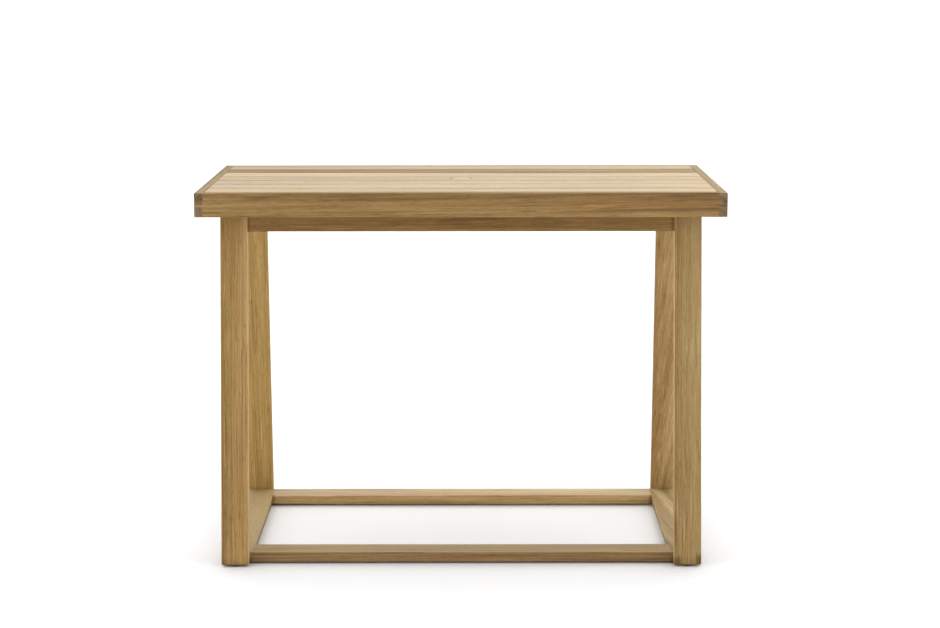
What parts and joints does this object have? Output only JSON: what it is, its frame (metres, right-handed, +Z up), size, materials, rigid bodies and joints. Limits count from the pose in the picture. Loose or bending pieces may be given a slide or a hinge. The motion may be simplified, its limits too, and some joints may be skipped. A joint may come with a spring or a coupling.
{
  "type": "bar table",
  "caption": "Rectangular bar-height patio table with a slatted wooden top in a frame, outward-leaning board legs, a low foot ring and a lift-out parasol plug.",
  "frame": {"origin": "on the floor under the middle of the top", "axes": "+X along the length of the top, +Z up; the long front edge faces -Y"},
  "size_m": [1.5, 0.9, 1.08],
  "materials": {
    "teak_slats": "sanded, unoiled teak",
    "teak_rails": "sanded, unoiled teak",
    "teak_base": "sanded, unoiled teak",
    "teak_bearers": "planed teak",
    "stainless": "satin stainless steel",
    "zinc_brass": "plain brass",
    "beech": "fluted dowel",
    "black_nylon": "black moulded nylon"
  },
  "bodies": {
    "table": {"apron_back": "teak_base", "apron_front": "teak_base", "apron_left": "teak_base", "apron_right": "teak_base", "barrel_nuts": "zinc_brass", "bearer_centre": "teak_bearers", "bearer_left": "teak_bearers", "bearer_mid_left": "teak_bearers", "bearer_mid_right": "teak_bearers", "bearer_right": "teak_bearers", "foot_glides": "black_nylon", "foot_rail_back": "teak_base", "foot_rail_front": "teak_base", "foot_rail_left": "teak_base", "foot_rail_right": "teak_base", "frame_bolts": "stainless", "joint_dowels": "beech", "ledger_left": "teak_bearers", "ledger_right": "teak_bearers", "ledger_screws": "stainless", "leg_back_left": "teak_base", "leg_back_right": "teak_base", "leg_front_left": "teak_base", "leg_front_right": "teak_base", "slat_1": "teak_slats", "slat_2": "teak_slats", "slat_3": "teak_slats", "slat_4": "teak_slats", "slat_5": "teak_slats", "slat_6": "teak_slats", "slat_7": "teak_slats", "slat_screws": "stainless", "threaded_inserts": "zinc_brass", "top_back_rail": "teak_rails", "top_fixing_bolts": "stainless", "top_front_rail": "teak_rails", "top_left_rail": "teak_rails", "top_right_rail": "teak_rails"},
    "plug": {"parasol_plug": "teak_slats"}
  },
  "joints": [
    {"name": "plug_lift", "type": "slide", "parent": "table", "child": "plug", "axis": [0, 0, 1], "range_m": [0, 0.06]}
  ]
}
